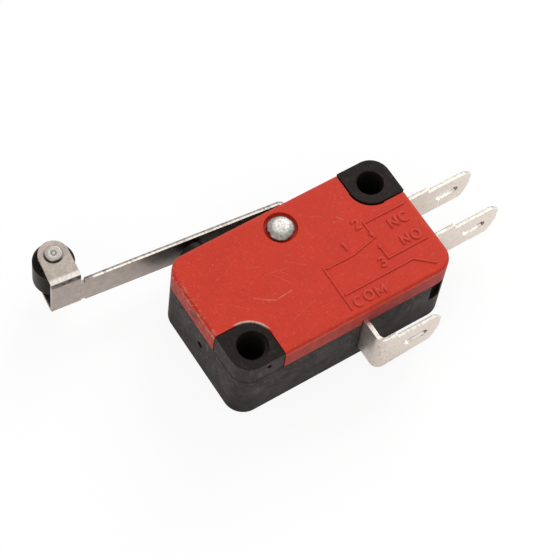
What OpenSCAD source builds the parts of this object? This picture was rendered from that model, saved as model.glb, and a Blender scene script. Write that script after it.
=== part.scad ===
// Miniature snap-action switch with a long hinged roller lever.
// Millimetres. Origin: axis of the mounting hole nearest the plunger, on the case's back face.
// +X runs along the case towards the blade terminals, +Y towards the plunger, +Z out of the cover.

/* [Case] */
// Length of the case along X
case_l = 27.8; // [26:0.1:32]
// Width of the case along Y
case_w = 15.9; // [15.4:0.1:18]
// Radius of the case's outer corners
corner_r = 2.3; // [1:0.1:2.6]
// Height of the case's side walls above its back face
rim_h = 7.2; // [7:0.1:7.6]
// Height of the two mounting bosses above the cover's top face
boss_proud = 0.1; // [0.05:0.05:0.6]
// Thickness of the side walls
wall = 1.1; // [0.9:0.05:1.2]
// Thickness of the floor
floor_t = 1.1; // [0.9:0.05:1.3]
// Diameter of the two mounting holes
hole_d = 3.1; // [2.9:0.05:3.4]
// Distance from a mounting hole's axis to the two case edges beside it
hole_edge = 2.8; // [2.7:0.05:2.9]
// Radius of the bosses around the mounting holes
boss_r = 2.6; // [2.4:0.05:2.65]
// Distance by which the bosses stand back from the case's sides
boss_inset = 0.03; // [0:0.01:0.1]
// Diameter of the wider mouth of the near mounting hole
mouth_d = 3.5; // [3.45:0.05:3.7]
// Depth of the wider mouth
mouth_depth = 0.4; // [0.2:0.05:0.6]
// Width of the moulding notch in the front wall
notch_w = 1.5; // [1.2:0.1:1.8]
// Height of the moulding notch
notch_h = 3.2; // [2:0.1:4]
// Depth of the moulding notch
notch_depth = 0.8; // [0.4:0.1:0.9]
// Diameter of the gate mark in the end wall
gate_d = 0.9; // [0.6:0.1:1.2]
// Diameter of the pin mark on the near boss
pin_mark_d = 0.6; // [0.4:0.1:0.8]
// Depth of the gate mark and the pin mark
mark_depth = 0.3; // [0.1:0.05:0.4]

/* [Cover] */
// Height of the cover's top face above the case's back face
cover_h = 10.2; // [10:0.1:10.5]
// Thickness of the cover's plate
plate_t = 1.1; // [0.9:0.05:1.3]
// Radius of the cover's outer top edge
edge_r = 0.45; // [0.2:0.05:0.6]
// Radius of the cover's edge around each boss
arc_r = 0.2; // [0.1:0.05:0.3]
// Gap between the cover and each boss
boss_gap = 0.16; // [0.1:0.02:0.25]
// Visible seam between cover and case
seam = 0.05; // [0.03:0.01:0.1]
// Diameter of the recess around the rivet's head
recess_d = 3.85; // [3.5:0.05:4.2]
// Depth of the recess around the rivet's head
recess_depth = 0.5; // [0.3:0.05:0.7]

/* [Hinge rivet] */
// Distance of the hinge axis from the near mounting hole along X
rivet_x = 10.55; // [9.8:0.05:11]
// Distance of the hinge axis below the case's plunger side
rivet_inset = 2.6; // [2.55:0.05:2.8]
// Diameter of the rivet's shank
rivet_d = 1.6; // [1.4:0.05:1.7]
// Diameter of the rivet's domed head
rivet_head_d = 3; // [2.7:0.05:3.2]
// Height of the rivet's domed head
rivet_head_h = 0.85; // [0.7:0.05:1]

/* [Lever] */
// Distance from the hinge axis to the roller's axis along the strip
lever_reach = 23.45; // [21:0.05:27]
// Angle of the strip above the case's side when free
lever_tilt = 6; // [5:0.5:7]
// Gap between the strip's underside and the case's side, at the hinge
lever_standoff = 1.79; // [1.6:0.01:2]
// Thickness of the strip
strip_t = 0.45; // [0.35:0.01:0.5]
// Width of the strip
strip_w = 4.2; // [3.8:0.1:4.4]
// Height of the strip's lower edge above the fork's lower face
strip_lift = 0.55; // [0.4:0.05:0.7]
// Distance from the hinge axis to the outside of the strip's bent root
root_out = 3.1; // [3:0.05:3.2]
// Outside radius of the two bends at the strip's root
root_r = 0.9; // [0.7:0.05:1.1]
// Inside radius of the fork's bends
fork_r = 0.35; // [0.2:0.05:0.5]
// Width of the fork's ears
ear_w = 3.45; // [3:0.05:4]
// Distance from the strip's underside to the roller's axis
ear_rise = 3.5; // [3.3:0.05:4]

/* [Roller] */
// Diameter of the roller
roller_d = 4.7; // [4:0.1:5.2]
// Length of the roller
roller_w = 4.2; // [3.8:0.1:4.6]
// Gap between the roller and each ear
roller_gap = 0.7; // [0.4:0.05:0.9]
// Diameter of the roller's pin
pin_d = 1.5; // [1.2:0.05:1.7]
// Diameter of the pin's peened heads
pin_head_d = 2; // [1.9:0.05:2.4]
// Height of the pin's peened heads
pin_head_h = 0.35; // [0.2:0.05:0.5]

/* [Plunger] */
// Distance of the plunger's axis from the near mounting hole along X
plunger_x = 2.4; // [2.2:0.05:2.6]
// Diameter of the plunger
plunger_d = 2.9; // [2.6:0.05:3]
// Diameter of the collar that keeps the plunger in the case
collar_d = 4; // [3.6:0.1:4.2]
// Height of the collar
collar_h = 0.8; // [0.6:0.05:1]
// Diameter of the stem that presses on the tongue
stem_d = 1.9; // [1.6:0.1:2.1]
// Radius of the plunger's domed end
tip_r = 3.5; // [3:0.1:5]
// Radius of the stem's rounded end
stem_r = 2; // [1.6:0.1:3]

/* [Terminals] */
// Thickness of the terminals' sheet
tab_t = 0.5; // [0.4:0.02:0.5]
// Width of the blade tabs
tab_w = 4.75; // [4.5:0.05:4.8]
// Height of the tabs' lower edge above the back face
tab_z = 2.55; // [2.3:0.05:2.6]
// Height of the wider shoulder above the tab's upper edge
shoulder = 0.7; // [0.5:0.05:0.8]
// Length of the chamfers at a tab's tip
tab_nose = 1.1; // [0.8:0.1:1.4]
// Length of the blade tabs beyond the case
tab_l = 9.65; // [8:0.05:11]
// Length of the wider shoulder beyond the case
shoulder_l = 3.4; // [2.6:0.1:4]
// Distance between the two blade terminals
terminal_pitch = 5.3; // [5.2:0.05:5.4]
// Distance of the common terminal's outer face from the near hole along X
com_x = 12.95; // [12.6:0.05:13.2]
// Distance of the common tab's outer face from the case's side
com_out = 3.4; // [3:0.05:4]
// Distance of the common tab's tip beyond the terminal's outer face
com_reach = 8.25; // [7.8:0.05:9]
// Length of the wide stretch of the common tab, from the terminal's outer face
com_wide = 2.2; // [2:0.1:2.6]
// Inside radius of the terminals' bends
tab_r = 0.55; // [0.4:0.05:0.7]
// Length of the wire slot in each tab
slot_l = 3.05; // [2.4:0.05:3.3]
// Width of the wire slot in each tab
slot_w = 1.3; // [1:0.05:1.6]
// Distance from a tab's tip to the far end of its wire slot
slot_back = 1.7; // [1.5:0.05:2.2]

/* [Snap mechanism] */
// Distance of the contacts from the near mounting hole along X
contact_x = 17.2; // [16.8:0.05:17.6]
// Diameter of the contacts
contact_d = 2.4; // [2:0.05:2.6]
// Height of the fixed contacts
fixed_h = 0.75; // [0.6:0.05:0.8]
// Height of each face of the moving contact
moving_h = 0.8; // [0.7:0.05:0.85]
// Thickness of the contact arm
arm_t = 0.4; // [0.3:0.02:0.45]
// Width of the contact arm
arm_w = 4.2; // [4:0.1:4.4]
// Width of the window in the contact arm
window_w = 2.2; // [2.1:0.05:2.3]
// Distance of the spring's hook on the arm from the near hole along X
hook_x = 13; // [12.8:0.05:13.2]
// Thickness of the pressed tongue
tongue_t = 0.35; // [0.3:0.01:0.4]
// Width of the pressed tongue
tongue_w = 2; // [1.8:0.05:2.05]
// Distance of the tongue's pivot from the near mounting hole along X
tongue_x = 9; // [8.8:0.05:9.2]
// Height of the tongue's pivot above the contact arm
tongue_rise = 1.85; // [1.8:0.01:1.95]
// Diameter of the tongue's pivot post
post_d = 1; // [0.9:0.02:1.1]
// Half of the tongue's swing
tongue_swing = 6.85; // [6.5:0.05:7]
// Wire diameter of the tension spring
wire_d = 0.22; // [0.18:0.01:0.24]
// Mean diameter of the tension spring's coils
coil_d = 1.08; // [0.9:0.01:1.12]
// Number of turns in the tension spring
coil_n = 14; // [8:1:16]
// Inside radius of the tension spring's hooks
loop_ri = 0.6; // [0.55:0.01:0.65]

/* [Fits] */
// Radial running clearance of turning pieces
run_gap = 0.05; // [0.03:0.01:0.08]
// Clearance of sheet terminals in their slots
slot_gap = 0.05; // [0.03:0.01:0.08]
// Clearance where one moving piece presses on another
touch_gap = 0.06; // [0.05:0.005:0.08]

/* [Hidden] */
$fn = 64;
eps = 0.01;
over = 1;

// Case edges, and the far mounting hole
left = -hole_edge;
right = case_l - hole_edge;
front = -hole_edge;
top = case_w - hole_edge;
far_x = right - hole_edge;
far_y = top - hole_edge;
boss_h = cover_h + boss_proud;
skirt_z = rim_h + seam;
plate_z = cover_h - plate_t;
mid_z = boss_h / 2;

// Hinge and lever, the lever in its own frame: origin on the hinge axis, x along the strip
rivet_y = top - rivet_inset;
under = rivet_inset + lever_standoff;
fork_w = roller_w + 2 * roller_gap + 2 * strip_t;
fork_z = mid_z - fork_w / 2;
strip_z = fork_z + strip_lift;
eye_ri = rivet_d / 2 + run_gap;
eye_ro = eye_ri + strip_t;
sleeve_d = 2 * eye_ro + 0.2;
fork_x0 = -lever_reach - ear_w / 2;
fork_x1 = fork_x0 + ear_w;

// Terminals and contacts
nc_y = far_y - boss_r - slot_gap - tab_t / 2;
no_y = nc_y - terminal_pitch;
tab_top = tab_z + tab_w;
act_z = tab_z + tab_w / 2;
arm_y = nc_y - tab_t / 2 - fixed_h - touch_gap - moving_h - arm_t / 2;
terminal_x = contact_x - 1.5;
frame_y = 0.9;
edge_x = 3.85;
arm_x = edge_x + tab_t;
arm_end = contact_x + 1.4;

// Tongue and spring; the spring's hook on the tongue lies in the tongue's own frame
tongue_y = arm_y + tongue_rise;
press = plunger_x - tongue_x;
tongue_end = press - 0.45;
hook_down = 2.09;
tongue_hook = [tongue_x + cos(tongue_swing) * tongue_end - sin(tongue_swing) * hook_down,
    tongue_y - sin(tongue_swing) * tongue_end - cos(tongue_swing) * hook_down];
arm_hook = [hook_x, arm_y];
spring_play = 0.27;

// Plunger: its two ends just clear the strip's underside and the tongue's upper face
plunger_tip = rivet_y + (under - (plunger_x - rivet_x) * sin(lever_tilt)) / cos(lever_tilt)
    - touch_gap;
tongue_top = tongue_y + (tongue_t / 2 - press * sin(tongue_swing)) / cos(tongue_swing);
stem_end = tongue_top + touch_gap;

// Rectangle between two corners
module box2(x0, y0, x1, y1) {
    translate([x0, y0]) square([x1 - x0, y1 - y0]);
}

// Rectangle between two corners, with all four of its corners rounded
module round2(x0, y0, x1, y1, r) {
    box2(x0 + r, y0, x1 - r, y1);
    box2(x0, y0 + r, x1, y1 - r);
    for (x = [x0 + r, x1 - r], y = [y0 + r, y1 - r]) translate([x, y]) circle(r);
}

// The case's outline, moved inwards
module outline(inset = 0) {
    round2(left + inset, front + inset, right - inset, top - inset, corner_r - min(inset, corner_r - 0.4));
}

// Corner zone around a mounting hole: straight to the two case edges, round towards the middle
module zone(r) {
    circle(r);
    box2(-hole_edge - over, -hole_edge - over, 0, r);
    box2(-hole_edge - over, -hole_edge - over, r, 0);
}

module zones(r) {
    zone(r);
    translate([far_x, far_y]) rotate(180) zone(r);
}

// Slot with round ends along X, centred
module slot2(l, w) {
    box2(-(l - w) / 2, -w / 2, (l - w) / 2, w / 2);
    for (s = [-1, 1]) translate([s * (l - w) / 2, 0]) circle(d = w);
}

// Ring sector in the plane, from angle a to angle b, with b - a no more than 180 degrees
module bend2(ri, ro, a, b) {
    far = 2 * ro;
    intersection() {
        difference() {
            circle(ro);
            circle(ri);
        }
        polygon([[0, 0], far * [cos(a), sin(a)], far * [cos((a + b) / 2), sin((a + b) / 2)],
            far * [cos(b), sin(b)]]);
    }
}

// Prism from a side view: the outline's x and y become X and Z, and it runs along +Y from y0
module side_prism(y0, depth) {
    translate([0, y0 + depth, 0]) rotate([90, 0, 0]) linear_extrude(depth) children();
}

// Slice of a plan view between two heights
module slab(z0, z1) {
    translate([0, 0, z0]) linear_extrude(z1 - z0) children();
}

// ---- case ----

// Width of the cuts in the case's wall for the lever's root and the common terminal
lever_play = 0.45;
lever_cut = [rivet_x + root_out - strip_t - lever_play, rivet_x + root_out + lever_play];
com_play = 0.2;
com_cut = [com_x - com_play, com_x + tab_t + slot_gap];
notch_x = far_x - 0.1;
block_reach = 1.9;
block_x = far_x - block_reach;

// Axis of the near hole's mouth, a little towards the front wall
mouth_at = [0.17, -0.17];
// Places of the gate mark along Y and Z, and of the pin mark along X and Z
gate_at = [5.1, 4.5];
pin_mark_at = [0.75, cover_h - 0.95];

module cavity2() {
    difference() {
        outline(wall);
        zones(boss_r);
        // blocks that clamp the terminals
        box2(block_x, no_y + tab_t / 2 + slot_gap, right, nc_y - tab_t / 2 - slot_gap);
        box2(block_x, front, right, no_y - tab_t / 2 - slot_gap);
        box2(edge_x + tab_t + slot_gap, front, com_x - tab_r - slot_gap, frame_y - slot_gap);
    }
}

module case() {
    color([0.16, 0.15, 0.15]) {
        difference() {
            union() {
                slab(0, rim_h) outline();
                slab(0, boss_h) intersection() {
                    outline(boss_inset);
                    zones(boss_r);
                }
            }
            slab(floor_t, boss_h + over) cavity2();
            for (p = [[0, 0], [far_x, far_y]]) translate([p[0], p[1], -over])
                cylinder(d = hole_d, h = boss_h + 2 * over);
            translate([mouth_at[0], mouth_at[1], boss_h - mouth_depth]) cylinder(d = mouth_d, h = over);
            // rivet hole and its counterbore in the back
            translate([rivet_x, rivet_y, -over]) {
                cylinder(d = rivet_d, h = boss_h);
                cylinder(d = recess_d, h = over + 0.6);
            }
            // plunger guide, open towards the cover
            translate([plunger_x, top + over, act_z]) rotate([90, 0, 0])
                cylinder(r = plunger_d / 2 + run_gap, h = wall + 2 * over);
            translate([plunger_x - plunger_d / 2 - run_gap, top - wall - over, act_z])
                cube([plunger_d + 2 * run_gap, wall + 2 * over, rim_h]);
            // cut for the lever's root
            slab(strip_z - 0.3, rim_h + over) box2(lever_cut[0], top - wall - over, lever_cut[1], top + over);
            // cuts for the terminals
            slab(tab_z - shoulder - slot_gap, rim_h + over)
                box2(com_cut[0], front - over, com_cut[1], front + wall + over);
            for (y = [nc_y, no_y]) slab(tab_z - slot_gap, rim_h + over)
                box2(block_x - over, y - tab_t / 2 - slot_gap, right + over, y + tab_t / 2 + slot_gap);
            // moulding notch beside the far end of the front wall
            slab(rim_h - notch_h, rim_h + over)
                box2(notch_x, front - over, notch_x + notch_w, front + notch_depth);
            // gate mark and pin mark
            translate([left - over, gate_at[0], gate_at[1]]) rotate([0, 90, 0])
                cylinder(d = gate_d, h = mark_depth + over);
            translate([pin_mark_at[0], front - over, pin_mark_at[1]]) rotate([-90, 0, 0])
                cylinder(d = pin_mark_d, h = mark_depth + over);
        }
        // seat under the lever's eye
        difference() {
            translate([rivet_x, rivet_y, floor_t - eps]) cylinder(d = sleeve_d, h = strip_z - 0.1 - floor_t);
            translate([rivet_x, rivet_y, 0]) cylinder(d = rivet_d, h = boss_h);
        }
        // pivot post of the tongue
        translate([tongue_x, tongue_y, floor_t - eps]) cylinder(d = post_d, h = plate_z - floor_t - 0.15);
    }
}

// ---- cover ----

// Cross-section of the material outside a rounded edge, its corner at the origin
module edge_waste() {
    difference() {
        box2(-edge_r, -edge_r, over, over);
        translate([-edge_r, -edge_r]) circle(edge_r);
        box2(-2 * edge_r, -2 * edge_r, -edge_r, over);
        box2(-2 * edge_r, -2 * edge_r, over, -edge_r);
    }
}

// Waste along one side of the outline, from a point, in a direction, for a length
module edge_run(x, y, turn, len) {
    translate([x, y, cover_h]) rotate([0, 0, turn]) rotate([90, 0, 0])
        translate([0, 0, -len]) linear_extrude(len) edge_waste();
}

// Waste round one corner of the outline
module edge_corner(x, y, turn) {
    translate([x, y, cover_h]) rotate([0, 0, turn]) rotate_extrude(angle = 90)
        translate([corner_r, 0]) edge_waste();
}

// Waste along the rounded edge around the near boss
module arc_waste() {
    r = boss_r + boss_gap;
    translate([0, 0, cover_h]) rotate_extrude(angle = 90) difference() {
        box2(r - arc_r, -arc_r, r + arc_r, over);
        translate([r + arc_r, -arc_r]) circle(arc_r);
    }
}

module cover() {
    color([0.79, 0.2, 0.15]) {
        difference() {
            union() {
                difference() {
                    slab(skirt_z, cover_h) outline();
                    slab(skirt_z - over, plate_z) outline(wall);
                }
                // sleeve that holds the lever's eye down
                translate([rivet_x, rivet_y, strip_z + strip_w + 0.1])
                    cylinder(d = sleeve_d, h = plate_z - strip_z - strip_w);
                // key that closes the plunger's guide
                slab(act_z, skirt_z + eps) box2(plunger_x - plunger_d / 2, top - wall,
                    plunger_x + plunger_d / 2, top);
            }
            slab(act_z - over, cover_h + over) zones(boss_r + boss_gap);
            translate([rivet_x, rivet_y, 0]) cylinder(d = rivet_d, h = cover_h + over);
            translate([rivet_x, rivet_y, cover_h - recess_depth]) cylinder(d = recess_d, h = over);
            translate([plunger_x, top + over, act_z]) rotate([90, 0, 0])
                cylinder(r = plunger_d / 2 + run_gap, h = wall + 2 * over);
            // notches over the terminals' shoulders
            slab(skirt_z - over, tab_top + shoulder + slot_gap) {
                box2(com_cut[0], front - over, com_cut[1], front + wall + over);
                for (y = [nc_y, no_y]) box2(right - wall - over, y - tab_t / 2 - slot_gap,
                    right + over, y + tab_t / 2 + slot_gap);
            }
            // rounded outer edge
            edge_run(right, front + corner_r, 0, case_w);
            edge_run(right - corner_r, top, 90, case_l);
            edge_run(left, top - corner_r, 180, case_w);
            edge_run(left + corner_r, front, 270, case_l);
            edge_corner(left + corner_r, top - corner_r, 90);
            edge_corner(right - corner_r, front + corner_r, 270);
            // rounded edges around the bosses
            arc_waste();
            translate([far_x, far_y]) rotate(180) arc_waste();
        }
    }
}

// ---- hinge rivet ----

// Flat-sided dome standing on the plane, cut from a ball
module dome(d, h, flat) {
    rise = h - flat;
    ball = (d * d / 4 + rise * rise) / (2 * rise);
    intersection() {
        cylinder(d = d, h = h);
        translate([0, 0, h - ball]) sphere(ball);
    }
}

module hinge_rivet() {
    seat = cover_h - recess_depth;
    color([0.8, 0.79, 0.77]) translate([rivet_x, rivet_y, 0]) {
        translate([0, 0, 0.3]) cylinder(d = rivet_d, h = seat);
        translate([0, 0, seat]) dome(rivet_head_d, rivet_head_h, 0.3);
        translate([0, 0, 0.6]) mirror([0, 0, 1]) dome(rivet_head_d - 0.3, 0.5, 0.2);
    }
}

// ---- lever and roller ----

// Places children given in the lever's own frame
module lever_frame() {
    translate([rivet_x, rivet_y, 0]) rotate([0, 0, -lever_tilt]) children();
}

// The strip's root: over the wall, down through it, and round the rivet
module root2() {
    bend_x = root_out - root_r;
    lap = 15;
    box2(fork_x1, under, bend_x, under + strip_t);
    translate([bend_x, under + strip_t - root_r]) bend2(root_r - strip_t, root_r, 0, 90);
    box2(root_out - strip_t, root_r - eye_ro, root_out, under + strip_t - root_r);
    translate([bend_x, root_r - eye_ro]) bend2(root_r - strip_t, root_r, -90, 0);
    box2(0, -eye_ro, bend_x, -eye_ri);
    bend2(eye_ri, eye_ro, -lap, 90);
    bend2(eye_ri, eye_ro, 90, 180);
    bend2(eye_ri, eye_ro, 180, 270);
}

// Cross-section of the fork: y from the strip's underside, z across the fork
module fork2() {
    deep = ear_rise + ear_w;
    difference() {
        round2(0, fork_z, 2 * deep, fork_z + fork_w, fork_r + strip_t);
        round2(strip_t, fork_z + strip_t, 2 * deep, fork_z + fork_w - strip_t, fork_r);
        box2(deep, fork_z - over, 3 * deep, fork_z + fork_w + over);
    }
}

module lever() {
    axis_y = under + ear_rise;
    relief = 0.5;
    nick_low = strip_z + 0.3;
    nick_high = strip_z + strip_w - 0.4;
    color([0.62, 0.59, 0.55]) lever_frame() difference() {
        union() {
            slab(strip_z, strip_z + strip_w) root2();
            // neck between the relief nicks, let into the fork's back
            slab(nick_low, nick_high) box2(fork_x1 - relief, under, fork_x1 + relief, under + strip_t);
            intersection() {
                translate([fork_x0, under, 0]) rotate([90, 0, 90]) linear_extrude(ear_w) fork2();
                slab(fork_z - over, fork_z + fork_w + over) {
                    box2(fork_x0, under - over, fork_x1, axis_y);
                    translate([-lever_reach, axis_y]) circle(d = ear_w);
                }
            }
        }
        // relief nicks where the strip meets the fork
        slab(nick_high, strip_z + strip_w + over)
            box2(fork_x1, under - over, fork_x1 + relief, under + strip_t + over);
        slab(strip_z - over, nick_low)
            box2(fork_x1, under - over, fork_x1 + relief, under + strip_t + over);
        translate([-lever_reach, axis_y, fork_z - over]) cylinder(d = pin_d, h = fork_w + 2 * over);
    }
}

module roller_pin() {
    color([0.72, 0.7, 0.67]) lever_frame() translate([-lever_reach, under + ear_rise, fork_z]) {
        cylinder(d = pin_d, h = fork_w);
        translate([0, 0, fork_w]) dome(pin_head_d, pin_head_h, pin_head_h - 0.07);
        mirror([0, 0, 1]) dome(pin_head_d, pin_head_h, pin_head_h - 0.07);
    }
}

module roller() {
    bevel = 0.25;
    r = roller_d / 2;
    bore = pin_d / 2 + run_gap;
    color([0.09, 0.09, 0.09]) lever_frame()
        translate([-lever_reach, under + ear_rise, mid_z - roller_w / 2]) rotate_extrude()
            polygon([[bore, 0], [r - bevel, 0], [r, bevel], [r, roller_w - bevel],
                [r - bevel, roller_w], [bore, roller_w]]);
}

// ---- plunger ----

module plunger() {
    collar_top = top - wall - 0.1;
    color([0.13, 0.13, 0.13]) translate([plunger_x, 0, act_z]) rotate([-90, 0, 0]) {
        translate([0, 0, collar_top - collar_h]) cylinder(d = collar_d, h = collar_h);
        intersection() {
            translate([0, 0, collar_top - eps]) cylinder(d = plunger_d, h = plunger_tip - collar_top + eps);
            translate([0, 0, plunger_tip - tip_r]) sphere(tip_r);
        }
        translate([0, 0, collar_top - eps]) cylinder(d = plunger_d, h = top - collar_top);
        intersection() {
            translate([0, 0, stem_end]) cylinder(d = stem_d, h = collar_top - collar_h - stem_end + eps);
            translate([0, 0, stem_end + stem_r]) sphere(stem_r);
        }
        translate([0, 0, stem_end + stem_r / 2])
            cylinder(d = stem_d, h = collar_top - collar_h - stem_end - stem_r / 2 + eps);
    }
}

// ---- terminals ----

// Side view of a blade tab from x0 to its tip at x1, with its chamfers and wire slot
module tab2(x0, x1) {
    low_chamfer = 1.9;
    high_chamfer = 0.9;
    difference() {
        polygon([[x0, tab_z], [x1 - tab_nose, tab_z], [x1, tab_z + low_chamfer],
            [x1, tab_top - high_chamfer], [x1 - tab_nose, tab_top], [x0, tab_top]]);
        translate([x1 - slot_back - slot_l / 2, act_z]) slot2(slot_l, slot_w);
    }
}

// Plan of a tab's thickness, coined thinner at its tip
module coin2(x0, x1, y) {
    lead = 0.6;
    thin = 0.12;
    polygon([[x0, y - tab_t / 2], [x1 - lead, y - tab_t / 2], [x1, y - tab_t / 2 + thin],
        [x1, y + tab_t / 2 - thin], [x1 - lead, y + tab_t / 2], [x0, y + tab_t / 2]]);
}

module blade_terminal(y) {
    tip = right + tab_l;
    hole = 1.2;
    color([0.84, 0.8, 0.76]) difference() {
        intersection() {
            side_prism(y - tab_t / 2, tab_t) {
                tab2(terminal_x, tip);
                box2(block_x + 0.4, tab_z, right + shoulder_l, tab_top + shoulder);
            }
            slab(0, boss_h) coin2(terminal_x - over, tip, y);
        }
        translate([contact_x, y + over, act_z]) rotate([90, 0, 0]) cylinder(d = hole, h = 2 * over);
    }
}

module nc_terminal() {
    blade_terminal(nc_y);
}

module no_terminal() {
    blade_terminal(no_y);
}

// The common terminal: tab, bend, arm through the wall, inner frame and knife-edge prongs
module com_terminal() {
    out_y = front - com_out;
    ro = tab_r + tab_t;
    ri = tab_r;
    tip = com_x + com_reach;
    step_x = com_x + com_wide;
    low = tab_z - shoulder;
    high = tab_top + shoulder;
    frame_top = frame_y + tab_t;
    color([0.84, 0.8, 0.76]) {
        // tab and the wide stretch next to the bend
        difference() {
            intersection() {
                side_prism(out_y, tab_t) {
                    tab2(step_x - eps, tip);
                    polygon([[com_x + ro, low], [tip - tab_nose, tab_z], [tip - tab_nose, tab_z + 1],
                        [step_x, tab_z + 1], [step_x, high], [com_x + ro, high]]);
                }
                slab(0, boss_h) coin2(com_x + ro - over, tip, out_y + tab_t / 2);
            }
            translate([tip - slot_back - slot_l / 2, out_y - over, act_z]) rotate([-90, 0, 0])
                linear_extrude(2 * over + tab_t) slot2(slot_l, slot_w);
        }
        slab(low, high) {
            translate([com_x + ro, out_y + ro]) bend2(ri, ro, 180, 270);
            box2(com_x, out_y + ro, com_x + tab_t, front + wall);
        }
        // inner frame
        slab(tab_z, tab_top) {
            box2(com_x, front + wall, com_x + tab_t, frame_top - ro);
            translate([com_x + tab_t - ro, frame_top - ro]) bend2(ri, ro, 0, 90);
            box2(edge_x + ro, frame_y, com_x + tab_t - ro, frame_top);
            translate([edge_x + ro, frame_y + ro]) bend2(ri, ro, 180, 270);
        }
        // prongs whose notches carry the contact arm
        difference() {
            slab(tab_z, tab_top) box2(edge_x, frame_y + ro, edge_x + tab_t, arm_y + 0.35);
            slab(act_z - window_w / 2, act_z + window_w / 2)
                box2(edge_x - over, frame_y + 1.6, edge_x + tab_t + over, top);
            slab(tab_z - over, tab_top + over) polygon([[arm_x - 0.25, arm_y],
                [arm_x + 0.1, arm_y + 0.35], [arm_x + 0.1, arm_y - 0.35]]);
        }
    }
}

// ---- contacts ----

// Contact rivet on the plane z = 0: face below, tail through a sheet above
module contact_rivet(face_h, sheet_t) {
    mirror([0, 0, 1]) dome(contact_d, face_h, face_h - 0.25);
    cylinder(d = 1.2, h = sheet_t);
    translate([0, 0, sheet_t]) dome(1.8, 0.3, 0.1);
}

module nc_contact() {
    color([0.86, 0.85, 0.82]) translate([contact_x, nc_y - tab_t / 2, act_z])
        rotate([-90, 0, 0]) contact_rivet(fixed_h, tab_t);
}

module no_contact() {
    color([0.86, 0.85, 0.82]) translate([contact_x, no_y + tab_t / 2, act_z])
        rotate([90, 0, 0]) contact_rivet(fixed_h, tab_t);
}

module moving_contact() {
    color([0.86, 0.85, 0.82]) translate([contact_x, arm_y, act_z]) rotate([90, 0, 0]) {
        translate([0, 0, -arm_t / 2]) cylinder(d = 1.2, h = arm_t);
        for (s = [0, 1]) mirror([0, 0, s]) translate([0, 0, arm_t / 2])
            dome(contact_d, moving_h, moving_h - 0.25);
    }
}

// ---- snap mechanism ----

module contact_arm() {
    tip_in = 0.2;
    web = 0.6;
    color([0.78, 0.6, 0.34]) difference() {
        slab(act_z - arm_w / 2, act_z + arm_w / 2) {
            box2(arm_x + 0.1, arm_y - arm_t / 2, arm_end, arm_y + arm_t / 2);
            polygon([[arm_x + 0.05 - tip_in, arm_y], [arm_x + 0.1, arm_y - arm_t / 2],
                [arm_x + 0.1, arm_y + arm_t / 2]]);
        }
        // window for the spring, and the slot for its hook
        translate([0, arm_y - over, 0]) {
            translate([arm_x - over, 0, act_z - window_w / 2])
                cube([hook_x - web / 2 - arm_x + over, 2 * over, window_w]);
            translate([hook_x + web / 2, 0, act_z - 0.5]) cube([0.8, 2 * over, 1]);
        }
        translate([contact_x, arm_y + over, act_z]) rotate([90, 0, 0]) cylinder(d = 1.2, h = 2 * over);
    }
}

module tongue() {
    ri = post_d / 2 + run_gap;
    ro = ri + 0.3;
    half = tongue_t / 2;
    color([0.78, 0.6, 0.34]) translate([tongue_x, tongue_y, 0]) rotate([0, 0, -tongue_swing]) difference() {
        slab(act_z - tongue_w / 2, act_z + tongue_w / 2) difference() {
            union() {
                circle(ro);
                box2(tongue_end - half, -half, 0, half);
                box2(tongue_end - half, -hook_down - 0.2, tongue_end + half, half);
            }
            circle(ri);
        }
        // eye of the hook
        translate([tongue_end - over, -hook_down + 0.25, act_z - 0.5]) cube([2 * over, 0.85, 1]);
    }
}

// Round wire along a path, as one closed solid
function ring(p, t, r, n) =
    let (u = t / norm(t), a = cross(u, abs(u[2]) < 0.9 ? [0, 0, 1] : [1, 0, 0]),
        v = a / norm(a), w = cross(u, v))
    [for (i = [0 : n - 1]) p + r * (cos(360 * i / n) * v + sin(360 * i / n) * w)];

module wire(path, r, n) {
    last = len(path) - 1;
    tangents = [for (i = [0 : last]) path[min(i + 1, last)] - path[max(i - 1, 0)]];
    points = [for (i = [0 : last]) each ring(path[i], tangents[i], r, n)];
    sides = [for (i = [0 : last - 1], j = [0 : n - 1])
        [i * n + j, i * n + (j + 1) % n, (i + 1) * n + (j + 1) % n, (i + 1) * n + j]];
    polyhedron(points, concat([[for (j = [n - 1 : -1 : 0]) j]], sides,
        [[for (j = [0 : n - 1]) last * n + j]]));
}

// Spring in its own frame: x from the arm's hook towards the tongue's hook
module snap_spring() {
    steps = 14;
    loop_r = loop_ri + wire_d / 2;
    span = norm(arm_hook - tongue_hook) - spring_play;
    lean = atan2(tongue_hook[1] - arm_hook[1], tongue_hook[0] - arm_hook[0]);
    body = coil_n * (wire_d + 0.12);
    start = 2.4;
    c = coil_d / 2;
    hook_a = [for (i = [0 : 12]) let (a = -150 + 25 * i) [loop_r * cos(a + 180) * -1, loop_r * sin(a), 0]];
    coils = [for (i = [0 : coil_n * steps]) let (a = 360 * i / steps)
        [start + body * i / (coil_n * steps), c * cos(a), c * sin(a)]];
    hook_b = [for (i = [0 : 12]) let (a = 150 - 25 * i) [span - loop_r * cos(a), loop_r * sin(a), 0]];
    color([0.7, 0.69, 0.66]) translate([arm_hook[0], arm_hook[1], act_z]) rotate([0, 0, lean])
        wire(concat(hook_a, coils, hook_b), wire_d / 2, 8);
}

case();
cover();
hinge_rivet();
lever();
roller_pin();
roller();
plunger();
com_terminal();
nc_terminal();
no_terminal();
nc_contact();
no_contact();
contact_arm();
moving_contact();
tongue();
snap_spring();
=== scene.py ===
"""Dresses a snap-action lever switch: moulded case and cover, steel lever, roller and blade terminals."""

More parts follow.
